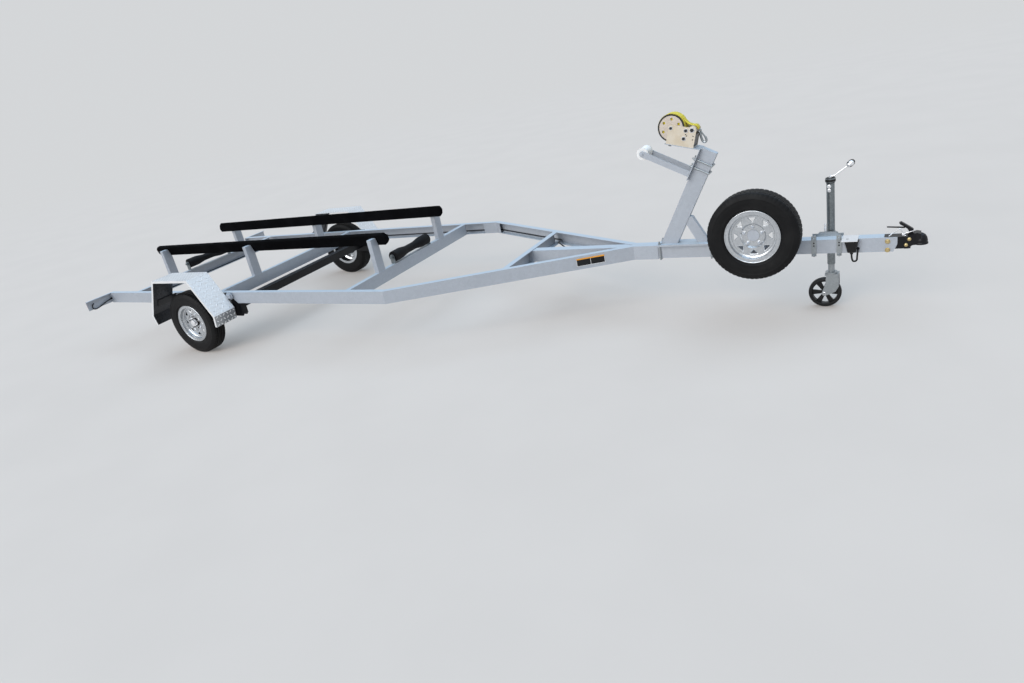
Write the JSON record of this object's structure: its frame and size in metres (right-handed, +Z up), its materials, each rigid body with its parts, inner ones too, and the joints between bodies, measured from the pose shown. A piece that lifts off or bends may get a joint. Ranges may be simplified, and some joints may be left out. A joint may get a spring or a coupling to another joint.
{
  "type": "boat trailer",
  "caption": "Single-axle boat trailer with carpeted bunks, keel rollers, leaning winch post, spare wheel and swing-up jockey jack.",
  "frame": {"origin": "on the ground, on the centre line, close to the middle of the overall length", "axes": "+X forward to the ball coupler, +Y to the trailer's left, +Z up"},
  "size_m": [7.039, 2.316, 1.3897],
  "materials": {
    "frame_paint": "pale blue-grey paint, weathered",
    "bunk_carpet": "black marine carpet",
    "black_rubber": "black moulded rubber",
    "tyre_rubber": "black tyre rubber",
    "wheel_silver": "silver wheel paint",
    "black_paint": "black paint",
    "tread_plate": "bright tread plate",
    "zinc_plate": "zinc plate",
    "winch_cream": "cream to gold zinc",
    "yellow_webbing": "yellow webbing",
    "white_roller": "white roller",
    "black_plastic": "black plastic",
    "lamp_lens": "red lens",
    "amber_lens": "amber reflector",
    "cable_black": "black cable sheath"
  },
  "bodies": {
    "chassis": {"side_rail_left": "frame_paint", "side_rail_right": "frame_paint", "boxing_plates": "frame_paint", "lamp_brackets": "frame_paint", "marker_plates": "black_plastic", "side_reflectors": "amber_lens", "crossmember_rear": "frame_paint", "crossmember_middle": "frame_paint", "crossmember_front": "frame_paint", "crossmember_drawbar": "frame_paint", "tongue": "frame_paint", "bunk_left": "bunk_carpet", "bunk_right": "bunk_carpet", "bunk_posts": "frame_paint", "keel_bracket_rear": "zinc_plate", "keel_bracket_front": "zinc_plate", "axle_beam": "black_paint", "axle_mounts": "black_paint", "swing_arms": "black_paint", "fender_left": "tread_plate", "fender_right": "tread_plate", "fender_stays": "frame_paint", "spare_carrier": "frame_paint", "spare_rim": "wheel_silver", "spare_tyre": "tyre_rubber", "winch_post": "frame_paint", "ubolts": "zinc_plate", "winch_plate": "frame_paint", "winch_frame": "winch_cream", "winch_gear": "winch_cream", "winch_drum": "yellow_webbing", "winch_strap": "yellow_webbing", "winch_hook": "zinc_plate", "winch_handle": "zinc_plate", "bow_arm": "frame_paint", "jack_clamp": "zinc_plate", "coupler_channel": "black_paint", "coupler_head": "black_paint", "coupler_lever": "black_paint", "plug_holder": "zinc_plate", "trailer_plug": "black_plastic", "plug_cable": "cable_black", "tail_lamps": "lamp_lens", "lamp_cable": "cable_black", "wiring_harness": "cable_black"},
    "wheel_left": {"hub_left": "black_paint", "rim_left": "wheel_silver", "tyre_left": "tyre_rubber"},
    "wheel_right": {"hub_right": "black_paint", "rim_right": "wheel_silver", "tyre_right": "tyre_rubber"},
    "keel_roller_rear": {"keel_roller_rear": "black_rubber"},
    "keel_roller_front": {"keel_roller_front": "black_rubber"},
    "bow_roller": {"bow_roller": "white_roller"},
    "jack_leg": {"jack_tube": "zinc_plate", "jack_crank": "zinc_plate"},
    "jack_slider": {"jack_inner_tube": "zinc_plate"},
    "jack_castor": {"jack_fork": "zinc_plate"},
    "jack_wheel": {"jack_wheel": "black_plastic"}
  },
  "joints": [
    {"name": "wheel_left_spin", "type": "hinge", "parent": "chassis", "child": "wheel_left", "pos_m": [-2.071, 1.037, 0.2825], "axis": [0, 1, 0], "continuous": true},
    {"name": "wheel_right_spin", "type": "hinge", "parent": "chassis", "child": "wheel_right", "pos_m": [-2.071, -1.037, 0.2825], "axis": [0, 1, 0], "continuous": true},
    {"name": "keel_roller_rear_spin", "type": "hinge", "parent": "chassis", "child": "keel_roller_rear", "pos_m": [-3.0565, 0, 0.571], "axis": [0, 1, 0], "continuous": true},
    {"name": "keel_roller_front_spin", "type": "hinge", "parent": "chassis", "child": "keel_roller_front", "pos_m": [-0.3435, 0, 0.562], "axis": [0, 1, 0], "continuous": true},
    {"name": "bow_roller_spin", "type": "hinge", "parent": "chassis", "child": "bow_roller", "pos_m": [1.84772, 0, 1.15305], "axis": [0, 1, 0], "continuous": true},
    {"name": "jack_swing", "type": "hinge", "parent": "chassis", "child": "jack_leg", "pos_m": [2.989, 0.084, 0.466], "axis": [0, 1, 0], "range_deg": [0, 90]},
    {"name": "jack_lift", "type": "slide", "parent": "jack_leg", "child": "jack_slider", "axis": [0, 0, 1], "range_m": [-0.15, 0.05]},
    {"name": "jack_castor_turn", "type": "hinge", "parent": "jack_slider", "child": "jack_castor", "pos_m": [2.989, 0.084, 0.23], "axis": [0, 0, 1], "range_deg": [-180, 180]},
    {"name": "jack_wheel_spin", "type": "hinge", "parent": "jack_castor", "child": "jack_wheel", "pos_m": [2.949, 0.084, 0.1016], "axis": [0, 1, 0], "continuous": true}
  ]
}
